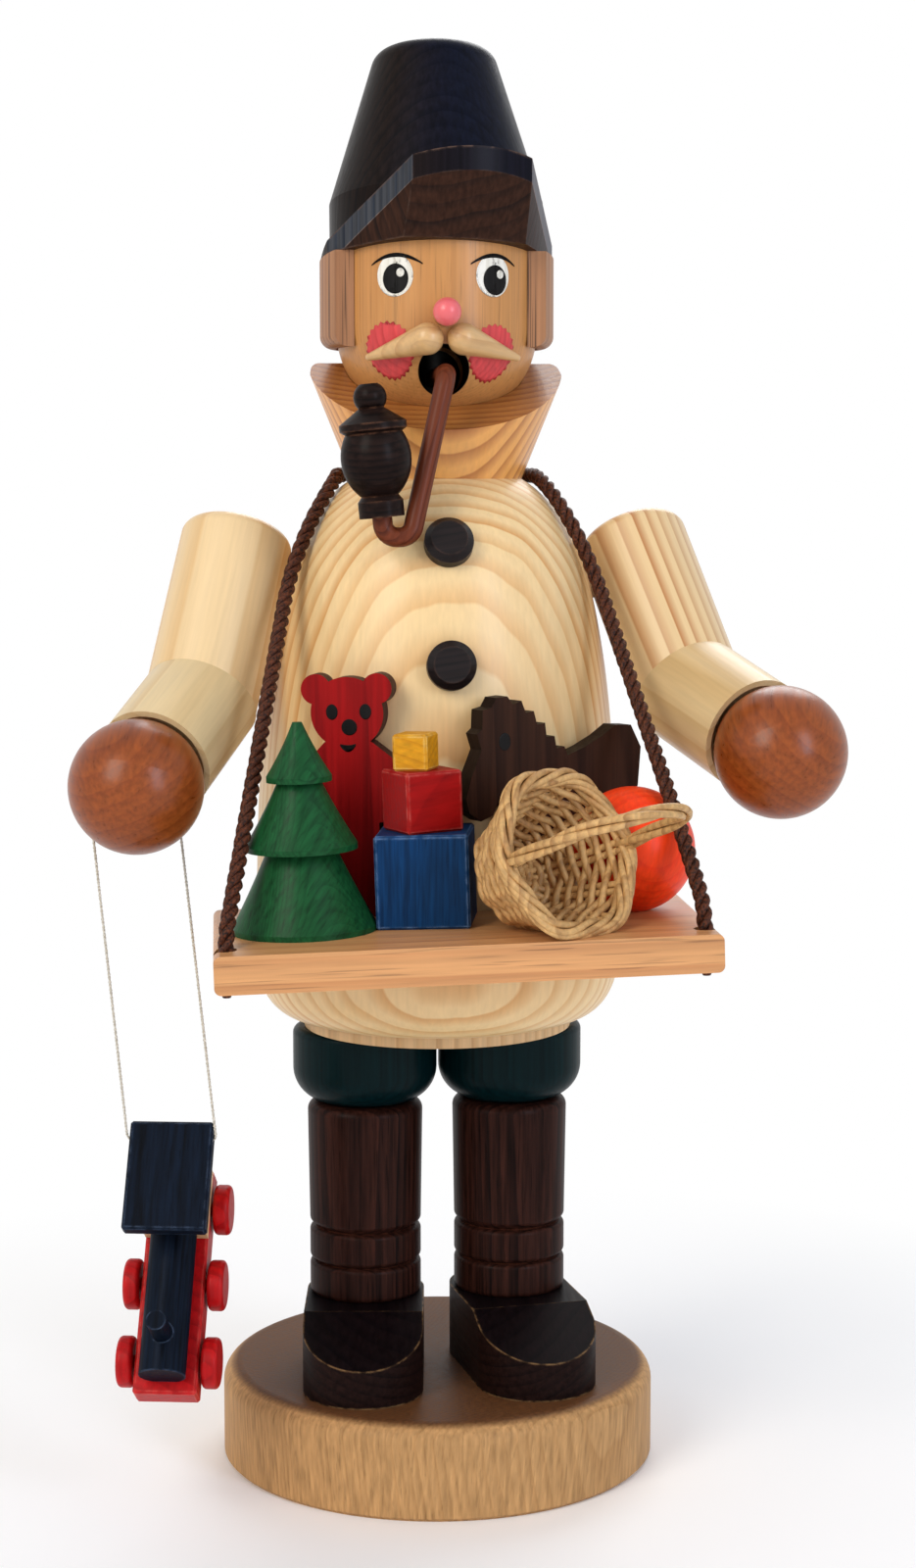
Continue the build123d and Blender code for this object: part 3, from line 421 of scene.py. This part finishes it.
for side, eye_u, pupil_u, pupil_v in (("right", -7.85, -7.7, 188.4), ("left", 7.9, 8.2, 188.25)):
    light_spot = (pupil_u + 0.85, pupil_v + 0.9)
    face_paint(f"{side}_eye_white", dab(48), white_finish, (eye_u, eye_height), eye_half, first_coat)
    face_paint(f"{side}_pupil", dab(48), black_finish, (pupil_u, pupil_v), pupil_half, second_coat)
    face_paint(f"{side}_eye_light", dab(24), white_finish, light_spot, light_half, third_coat)
for side, brow_u, long in (("right", -7.65, 4.3), ("left", 8.1, 4.1)):
    face_paint(f"{side}_brow", stroke(brow_bow), black_finish, (brow_u, brow_height), (long, brow_half), brow_coat)
for side, cheek in (("right", (-9.17, 177.6)), ("left", (8.2, 177.2))):
    face_paint(f"{side}_cheek", dab(96, cheek_teeth), cheek_finish, cheek, cheek_half, first_coat)

# Hair: a half ring of oak, glued round the back of the head.
# It is stained light brown and has open pores.
hair_finish = wood("hair_oak", rgb(170, 120, 82), rgb(128, 82, 52), ring=1.5, pith=(0, 60, 0), fibre=0.32,
                   rough=0.5, coat=0.08, gloss=0.3, pores=0.7, streak=0.015)
dress(hair_finish, "hair")

# Nose: a turned peg with a ball tip, pushed into a hole in the face.
# The peg is bare wood, and the tip is dipped in pink.
nose_tip, nose_tip_r = face_turn @ Vector((0, -20.0, 183.1)), 2.3
nose_finish = wood("nose_peg", rgb(206, 154, 98), rgb(184, 130, 78), ring=0.8, pith=(0, 0, 170), along=(0, 1, 0),
                   fibre=0.2, rough=0.36, coat=0.3, changes=[(near(nose_tip, nose_tip_r, 0.08), rgb(228, 100, 104))])
dress(nose_finish, "nose")

# Moustache: two drops of pale maple, glued under the nose.
# Clear lacquer brings out their knotty figure.
moustache_finish = wood("moustache_maple", rgb(214, 172, 116), rgb(194, 148, 94), ring=2.2, pith=(3, -16, 174),
                        along=(1, 0.5, -0.2), wobble=1.8, fibre=0.14, rough=0.38, coat=0.3)
dress(moustache_finish, "right_moustache", "left_moustache")


# Hat: a turned beech cone with an upturned brim, stained black brown and pegged on the slanting head.
# The brim is sawn flat at two sides, which are coloured paler and bluish as a painted reflection of the windows,
# and the faces that look up and forward are tinted blue as a painted reflection too.
# Its underside is browner, and its edges are rubbed, their paler colour partly wear and partly a painted highlight.
def beyond(direction, reach, soft):
    """Share of a surface beyond a plane that lies this far out in a direction. Millimetres."""
    def mask(tree):
        out = dot(tree, node(tree, "TexCoord", out="Object"), Vector(direction).normalized())
        return node(tree, "MapRange", out, (reach - soft) / 1000, (reach + soft) / 1000)
    return mask


# The brim's two sawn faces: their paler, bluish tone is a painted reflection of the windows.
right_cut_reflection = beyond((-0.811, -0.585, 0), 17.37, 0.01)
left_cut_reflection = beyond((0.95, -0.313, 0), 17.375, 0.01)
# The paler colour of the hat's edges is partly rubbed wear and partly a painted highlight, where light catches them.
hat_finish = wood("hat_stain_and_painted_light", rgb(28, 19, 16), rgb(13, 10, 11), ring=1.2, pith=(0, 60, 0), fibre=0.5, rough=0.33,
                  coat=0.03, gloss=0.05, streak=0.03, edge=rgb(92, 72, 62),
                  # The faces that look up and forward are tinted blue: a painted reflection of a window.
                  changes=[(facing((0.45, -0.6, 0.66), 0.4, 0.9), deeper(0.35, 0.9, 3.0)),
                           (facing((0, 0, -1), 0.02, 0.15), deeper(3.6, 2.6, 1.9)),
                           (right_cut_reflection, deeper(5.0, 9.5, 14.0)),
                           (left_cut_reflection, deeper(9.0, 11.0, 9.0))])
dress(hat_finish, "hat")

# Pipe stem: a length of reddish cane, bent over heat.
# It runs from the mouth to the foot of the bowl and is pushed into both.
stem_finish = wood("stem_cane", rgb(110, 52, 30), rgb(78, 33, 19), ring=0.8, pith=(0, 30, 0), along=(0.3, 0.3, 1),
                   fibre=0.3, rough=0.42, coat=0.06, gloss=0.12)
dress(stem_finish, "pipe_stem")

# Pipe bowl: beech turned with foot, belly, lid and knob, carried by the stem.
# It is stained nearly black, and its ridges are rubbed brown.
bowl_finish = wood("bowl_stain", rgb(34, 22, 19), rgb(17, 12, 12), ring=1.0, pith=(0, 10, 0), along=(1, 0, 0.1),
                   fibre=0.6, rough=0.36, coat=0.03, gloss=0.05, edge=rgb(104, 70, 52))
dress(bowl_finish, "pipe_bowl")

# Upper arms: pine dowels rounded at the shoulder, hung on a peg that turns in the torso.
# The left one is cut across the rings and boldly striped.
right_arm_finish = wood("right_arm_pine", rgb(233, 202, 152), rgb(218, 176, 118), ring=3.6, pith=(-20, 60, 150),
                        along=(-0.23, -0.43, -0.87), wobble=1.2, fibre=0.08, rough=0.42, coat=0.3, gloss=0.4)
left_arm_finish = wood("left_arm_pine", rgb(229, 197, 146), rgb(178, 114, 58), ring=2.0, pith=(110, 30, 150),
                       along=(0.23, -0.55, -0.8), wobble=0.5, fibre=0.06, rough=0.42, coat=0.3, gloss=0.4,
                       late_from=0.35)
dress(right_arm_finish, "right_upper_arm")
dress(left_arm_finish, "left_upper_arm")

# Forearms: shorter dowels of pale pine, mitred against the upper arms and pegged to them.
# Their front ends are cupped for the hands.
right_fore_finish = wood("right_forearm_pine", rgb(226, 200, 150), rgb(208, 174, 120), ring=3.0,
                         pith=(-70, 20, 60), along=(-0.39, -0.8, -0.45), fibre=0.1, rough=0.42, coat=0.3, gloss=0.4)
left_fore_finish = wood("left_forearm_pine", rgb(222, 194, 144), rgb(202, 166, 110), ring=3.0,
                        pith=(70, 20, 60), along=(0.37, -0.88, -0.32), fibre=0.1, rough=0.42, coat=0.3, gloss=0.4)
dress(right_fore_finish, "right_forearm")
dress(left_fore_finish, "left_forearm")

# Hands: beech balls, pegged into the forearms' cups.
# They are stained chestnut and lacquered.
hand_finish = wood("hand_stain", rgb(148, 73, 27), rgb(130, 60, 21), ring=1.9, pith=(0, 30, 60),
                   along=(0.2, 1, 0.5), wobble=2.5, fibre=0.34, rough=0.32, coat=0.16, gloss=0.22, streak=0.06,
                   late_from=0.25)
dress(hand_finish, "right_hand", "left_hand")

# Tray: a planed beech board, notched round the belly and held there by two dowels, lacquered.
# The grain runs along it, with short dark flecks.
tray_finish = wood("tray_beech", rgb(214, 154, 98), rgb(196, 134, 82), ring=2.6, pith=(0, -30, 60),
                   along=(1, -0.044, 0.03), fibre=0.2, rough=0.45, coat=0.2, gloss=0.4, streak=0.03, pores=0.35)
dress(tray_finish, "tray")


# Neck cord: three brown strands laid into a thin rope, from under the tray's corner, taut over the shoulder,
# round under the collar and down through the other corner.
def line_of(name, route):
    """Places along a cord's smooth line, read from the spline that its route controls. Route in millimetres."""
    curve = bpy.data.curves.new(name, "CURVE")
    curve.dimensions = "3D"
    curve.resolution_u = 64
    spline = curve.splines.new("NURBS")
    spline.points.add(len(route) - 1)
    for spot, place in zip(spline.points, route):
        spot.co = (*(Vector(place) / 1000), 1.0)
    spline.order_u = 3
    spline.use_endpoint_u = True
    holder = bpy.data.objects.new(name, curve)
    scene.collection.objects.link(holder)
    wire = bpy.data.meshes.new_from_object(holder)
    places = [v.co.copy() for v in wire.vertices]
    bpy.data.objects.remove(holder)
    return places


def evenly(places, step):
    """The same line with its places a fixed step apart, and its length."""
    marks, gone, even = [places[0]], 0.0, step
    for a, b in zip(places, places[1:]):
        length = (b - a).length
        while length and gone + length >= even:
            marks.append(a.lerp(b, (even - gone) / length))
            even += step
        gone += length
    return marks, gone


def tubes(name, lines, radius, sides=2):
    """Mesh of round tubes along lines of places, in metres."""
    curve = bpy.data.curves.new(name, "CURVE")
    curve.dimensions = "3D"
    curve.bevel_depth = radius
    curve.bevel_resolution = sides
    curve.use_fill_caps = True
    for line in lines:
        spline = curve.splines.new("POLY")
        spline.points.add(len(line) - 1)
        for spot, place in zip(spline.points, line):
            spot.co = (*place, 1.0)
    holder = bpy.data.objects.new(name + "_line", curve)
    scene.collection.objects.link(holder)
    mesh = bpy.data.meshes.new_from_object(holder)
    bpy.data.objects.remove(holder)
    mesh.name = name
    return mesh


def laid(line, count, lay_r, pitch):
    """Lines of strands twisted together along a line."""
    step = (line[1] - line[0]).length
    side = (line[1] - line[0]).orthogonal().normalized()
    strands = [[] for k in range(count)]
    for i, place in enumerate(line):
        course = (line[min(i + 1, len(line) - 1)] - line[max(i - 1, 0)]).normalized()
        side = (side - course * side.dot(course)).normalized()
        for k, strand in enumerate(strands):
            turn = 2 * pi * (i * step / pitch + k / count)
            strand.append(place + (side * cos(turn) + course.cross(side) * sin(turn)) * lay_r)
    return strands


def yarn(name, dark, light, scale, rough):
    """Spun thread: fibres in two tones, with a soft sheen."""
    made, tree, shader = new_finish(name)
    fibres = node(tree, "TexNoise", node(tree, "TexCoord", out="Object"), None, scale, 3.0)
    tone = blend(tree, node(tree, "MapRange", fibres, 0.35, 0.7), dark, light)
    tree.links.new(tone, shader.inputs["Base Color"])
    shader.inputs["Roughness"].default_value = rough
    shader.inputs["Specular IOR Level"].default_value = 0.15
    shader.inputs["Sheen Weight"].default_value = 0.03
    roughen(tree, shader, fibres, strength=0.4)
    return made


cord_step, strand_lay_r, strand_pitch, strand_r = 0.0005, 0.00067, 0.0062, 0.00056
cord_finish = yarn("cord_brown", rgb(26, 13, 9), rgb(104, 54, 31), scale=2600.0, rough=0.5)
cord_route = [(-36.41, -51.95, 86.55), (-36.62, -51.95, 93.35), (-35.35, -47.71, 98.51), (-26.34, -17.69, 135.0),
              (-24.4, -11.2, 142.9), (-20.6, -7.6, 151.9), (-15.93, -1.6, 158.7), (-15.33, 6.35, 158.7),
              (-6.35, 15.33, 158.7), (6.35, 15.33, 158.7), (15.33, 6.35, 158.7), (15.93, -3.6, 158.6),
              (19.8, -10.1, 151.8), (23.6, -12.1, 142.9), (24.9, -18.6, 135.9), (31.6, -51.2, 100.4),
              (31.88, -54.95, 95.5), (32.09, -54.95, 88.71)]
cord_line, cord_length = evenly(line_of("neck_cord_line", cord_route), cord_step)
cord_mesh = tubes("neck_cord_rope", laid(cord_line, 3, strand_lay_r, strand_pitch), strand_r)
neck_rope = placed("neck_cord_rope", cord_mesh, cord_finish, "torso", "cord", "neck_cord")

# Cord ends: the rope's two tails, which come out just under the tray.
# They are trimmed short and singed.
dress(cord_finish, "cord_ends")

# Fir tree: three skirts turned from one piece of beech and stained green.
# The gouge leaves fine slanting lines.
tree_finish = wood("tree_stain", rgb(24, 82, 44), rgb(15, 65, 34), ring=0.4, pith=(-60, -10, 60),
                   along=(0.6, 0.5, 0.75), wobble=0.8, fibre=0.5, rough=0.42, coat=0.04, gloss=0.1, streak=0.12,
                   pores=0.35)
dress(tree_finish, "fir_tree")

# Bear: sawn from a thin board, its face stained red and its edges burnt dark by the saw.
# Eyes, nose and mouth are dabbed on in black.
tray_top, tray_lean, tray_turn = 93.2, radians(-1.8), radians(-2.5)
tray_place = (Matrix.Translation((0, 0, tray_top)) @ Matrix.Rotation(tray_lean, 4, "Y")
              @ Matrix.Rotation(tray_turn, 4, "Z"))


def on_tray(x, y, turn):
    """Frame of a toy that stands on the tray. Millimetres and degrees."""
    return tray_place @ Matrix.Translation((x, y, 0)) @ Matrix.Rotation(radians(turn), 4, "Z")


def edges_of(place):
    """Sawn edges of a board: what looks neither to its front nor to its back."""
    out = (place.to_3x3() @ Vector((0, 1, 0))).normalized()

    def mask(tree):
        turned = dot(tree, node(tree, "TexCoord", out="Normal"), out)
        return node(tree, "MapRange", node(tree, "Math", turned, operation="ABSOLUTE"), 0.75, 0.55)
    return mask


def front_of(place, half_thick):
    """Places on a board's front, for its paint."""
    def onto(x, z, lift):
        return place @ Vector((x, -half_thick - lift, z))
    return onto


toy_coat = 0.05
bear_place = on_tray(-14.4, -27.6, -17.5)
bear_finish = wood("bear_stain", rgb(160, 17, 19), rgb(124, 8, 12), ring=1.0, pith=(0, 60, 0), fibre=0.35,
                   rough=0.5, coat=0.05, gloss=0.08, streak=0.03,
                   changes=[(edges_of(bear_place), rgb(56, 20, 18))])
dress(bear_finish, "bear")
bear_front = front_of(bear_place, half_thick=1.5)
for name, patch, spot, half in (("bear_right_eye", dab(32), (-2.3, 30.9), (0.9, 1.15)),
                                ("bear_left_eye", dab(32), (2.85, 30.9), (0.9, 1.15)),
                                ("bear_nose", dab(32), (0.3, 28.6), (1.2, 1.2)),
                                ("bear_mouth", stroke(0.55), (0.0, 25.4), (1.2, 0.5))):
    paint(name, patch, black_finish, "red_stain", spot, half, bear_front, toy_coat)

# Building blocks: three wooden cubes, stacked and glued.
# They are stained blue, red and yellow, and their corners are rubbed pale.
blue_finish = wood("blue_stain", rgb(9, 56, 102), rgb(6, 48, 90), ring=0.5, pith=(-30, 30, 0), fibre=0.55,
                   rough=0.5, coat=0.05, gloss=0.08, streak=0.07, pores=0.3, edge=rgb(110, 142, 184))
red_finish = wood("red_stain", rgb(162, 14, 13), rgb(147, 10, 10), ring=0.9, pith=(-30, 30, 100),
                  along=(1, 0.2, 0.15), fibre=0.3, rough=0.48, coat=0.03, gloss=0.1, edge=rgb(206, 100, 90))
yellow_finish = wood("yellow_stain", rgb(218, 152, 24), rgb(198, 128, 13), ring=1.0, pith=(0, 0, 60),
                     along=(1, 0, 0), fibre=0.25, rough=0.5, coat=0.05, gloss=0.15, edge=rgb(240, 208, 120))
dress(blue_finish, "blue_block")
dress(red_finish, "red_block")
dress(yellow_finish, "yellow_block")

# Horse: sawn from a thin board with a toothed mane, and stained dark brown.
# Its edges are darker still, and its eye is a dab of black.
horse_place = on_tray(15.4, -27.0, 24.5)
horse_finish = wood("horse_stain", rgb(58, 35, 24), rgb(40, 23, 16), ring=1.2, pith=(0, 60, 0), fibre=0.4,
                    rough=0.5, coat=0.05, gloss=0.06, streak=0.03,
                    changes=[(edges_of(horse_place), rgb(30, 19, 15))])
dress(horse_finish, "horse")
horse_front = front_of(horse_place, half_thick=1.7)
paint("horse_eye", dab(32), black_finish, "horse_stain", (-8.5, 25.8), (1.0, 1.3), horse_front, toy_coat)

# Basket: split reed woven round pairs of upright stakes, with a rim plaited of six reeds.
# It lies on its side, glued to the tray. Its sizes are in millimetres, in a frame that stands on its floor.
rim_r, foot_r, deep, reed_r, plait_r = 12.1, 6.9, 13.3, 0.55, 0.52
cup_rim_r, cup_foot_r, half_wall, seat = 12.5, 7.3, 0.6, -0.12
stakes, rows, floor_rows, per_turn = 11, 12, 5, 88
stake_apart, in_and_out, uneven = 0.6, 0.6, 0.14
lie = atan2(cup_rim_r - cup_foot_r, deep)
basket_place = (Matrix.Scale(0.001, 4) @ on_tray(17.6, -55.9, 37.0) @ Matrix.Translation((0, 0, seat))
                @ Matrix.Rotation(pi / 2 - lie, 4, "X") @ Matrix.Translation((0, cup_rim_r, -deep)))
reed_finish = wood("bare_reed", rgb(214, 170, 110), rgb(162, 113, 64), ring=1.7, pith=(40, -90, 100), wobble=9.0,
                   fibre=0.34, rough=0.5, coat=0.05, gloss=0.3, streak=0.8, late_from=0.3)


def woven(name, lines, radius, *replaced):
    """Reeds along lines in the basket's own frame."""
    seated = [[basket_place @ Vector(place) for place in line] for line in lines]
    placed(name, tubes(name, seated, radius / 1000), reed_finish, "torso", "reed", *replaced)


def wall_r(height):
    """Radius of the middle of the basket's wall."""
    return foot_r + (rim_r - foot_r) * height / deep - half_wall


def ring_place(radius, turn, height):
    """Place on a ring round the basket's axis."""
    return (radius * cos(turn), radius * sin(turn), height)


stake_floor = [(1.5, 0.7), (4.0, 0.6), (foot_r - 0.8, 0.8)]
stake_wall = [(wall_r(height), height) for height in (1.6, 4, 6.5, 9, 11, deep - 0.4)]
uprights = []
for k in range(stakes):
    turn = 2 * pi * k / stakes
    for twin in (-stake_apart, stake_apart):
        uprights.append([ring_place(r, turn + twin / max(r, 4.0), z) for r, z in stake_floor + stake_wall])
wall = []
for i in range(rows * per_turn):
    turn = 2 * pi * i / per_turn
    height = 0.9 + (deep - 1.9) * i / (rows * per_turn)
    weave = in_and_out * cos(stakes * turn / 2) + uneven * sin(3.1 * turn + 1.0)
    wall.append(ring_place(wall_r(height) + weave, turn, height + uneven * sin(1.7 * turn)))
ground = []
for i in range(floor_rows * per_turn):
    turn = 2 * pi * i / per_turn
    radius = 0.4 + (foot_r - 1.0) * i / (floor_rows * per_turn)
    ground.append(ring_place(radius, turn, 0.75 + 0.5 * cos(stakes * turn / 2)))
woven("basket_weave", uprights + [wall, ground], reed_r, "basket")
plait_reeds, plait_wraps, plait_steps, lobes = 6, 3, 176, 6
plait_wide, plait_high, lobe_out = 0.95, 0.85, 0.35
plait = [[] for k in range(plait_reeds)]
for i in range(plait_steps + 1):
    turn = 2 * pi * i / plait_steps
    lobe = rim_r - 0.5 + lobe_out * cos(lobes * turn)
    for k, strand in enumerate(plait):
        wrap = plait_wraps * turn + 2 * pi * k / plait_reeds + 0.25 * sin(5 * turn + 2 * k)
        strand.append(ring_place(lobe + plait_wide * cos(wrap), turn, deep - 0.3 + plait_high * sin(wrap)))
woven("basket_plait", plait, plait_r)

# Basket handle: three reeds in a slack twist, arched over the basket's mouth.
# Its ends are pushed down into the wall on both sides.
arch_r, rise, sunk, leg, arch_steps = 11.5, 19.8, 1.5, 3, 24
handle_step, handle_lay_r, handle_pitch, handle_reed_r = 0.8, 0.64, 34.0, 0.54
arch = [Vector((-arch_r, 0, deep - sunk)), Vector((-arch_r, 0, deep + leg))]
for a in range(arch_steps + 1):
    turn = a * pi / arch_steps
    arch.append(Vector((-arch_r * cos(turn), 0, deep + rise - arch_r + arch_r * sin(turn))))
arch += [Vector((arch_r, 0, deep + leg)), Vector((arch_r, 0, deep - sunk))]
handle_reeds = laid(evenly(arch, handle_step)[0], 3, handle_lay_r, handle_pitch)
woven("basket_handle_twist", handle_reeds, handle_reed_r, "basket_handle")

# Ball: turned lime, glued to the tray on a small flat.
# It is stained orange red and lacquered.
ball_finish = wood("ball_stain", rgb(254, 70, 24), rgb(244, 56, 18), ring=1.2, pith=(0, 60, 60),
                   along=(0.2, 0.3, 1), fibre=0.2, rough=0.4, coat=0.08, gloss=0.12)
dress(ball_finish, "ball")

# Thread: one run of pale sewing thread, two plies twisted together.
# It goes through a hole in the right hand and is tied into both sides of the engine's roof.
thread_step, ply_lay_r, ply_pitch, ply_r = 0.0004, 0.00011, 0.0012, 0.00014
thread_finish = yarn("thread_white", rgb(176, 168, 150), rgb(232, 226, 214), scale=4000.0, rough=0.6)
thread_route = [(-48.54, -27.11, 59.08), (-50.35, -26.76, 59.08), (-50.5, -26.73, 60.92), (-54.72, -25.91, 104.09),
                (-54.92, -25.87, 106.08), (-52.96, -26.25, 106.08), (-43.92, -28.01, 106.08),
                (-41.96, -28.39, 106.08), (-41.76, -28.43, 104.09), (-37.32, -29.29, 60.92), (-37.1, -29.33, 59.08),
                (-38.92, -28.98, 59.08)]
thread_line, thread_length = evenly(line_of("thread_line", thread_route), thread_step)
thread_mesh = tubes("hanging_thread_line", laid(thread_line, 2, ply_lay_r, ply_pitch), ply_r, sides=1)
thread = placed("hanging_thread_line", thread_mesh, thread_finish, "train", "thread", "hanging_thread")

# Train frame and wheels: a beech bar and six turned wheels on loose axles.
# They are stained bright red, and their edges are rubbed.
engine_finish = wood("engine_stain", rgb(192, 14, 19), rgb(160, 8, 13), ring=1.2, pith=(0, 60, 0), fibre=0.25,
                     rough=0.45, coat=0.06, gloss=0.15, edge=rgb(222, 86, 76))
dress(engine_finish, "train_frame", "rear_wheels", "middle_wheels", "front_wheels")

# Boiler, roof and chimney: dowel, board and peg, glued on and stained blue black.
# The rough sawn roof shows pale specks.
navy_finish = wood("navy_stain", rgb(15, 25, 40), rgb(6, 11, 20), ring=0.8, pith=(0, 60, 0),
                   along=(-0.1, -0.55, -0.83), fibre=0.7, rough=0.5, coat=0.02, gloss=0.04, streak=0.08, pores=0.4,
                   edge=rgb(66, 80, 102))
dress(navy_finish, "train_boiler", "train_roof", "train_chimney")

# Cab: a block of maple, glued between frame and roof.
# It is left bare.
cab_finish = wood("cab_maple", rgb(236, 200, 148), rgb(214, 168, 112), ring=1.6, pith=(0, 60, 0), fibre=0.15,
                  rough=0.5, coat=0.1)
dress(cab_finish, "train_cab")
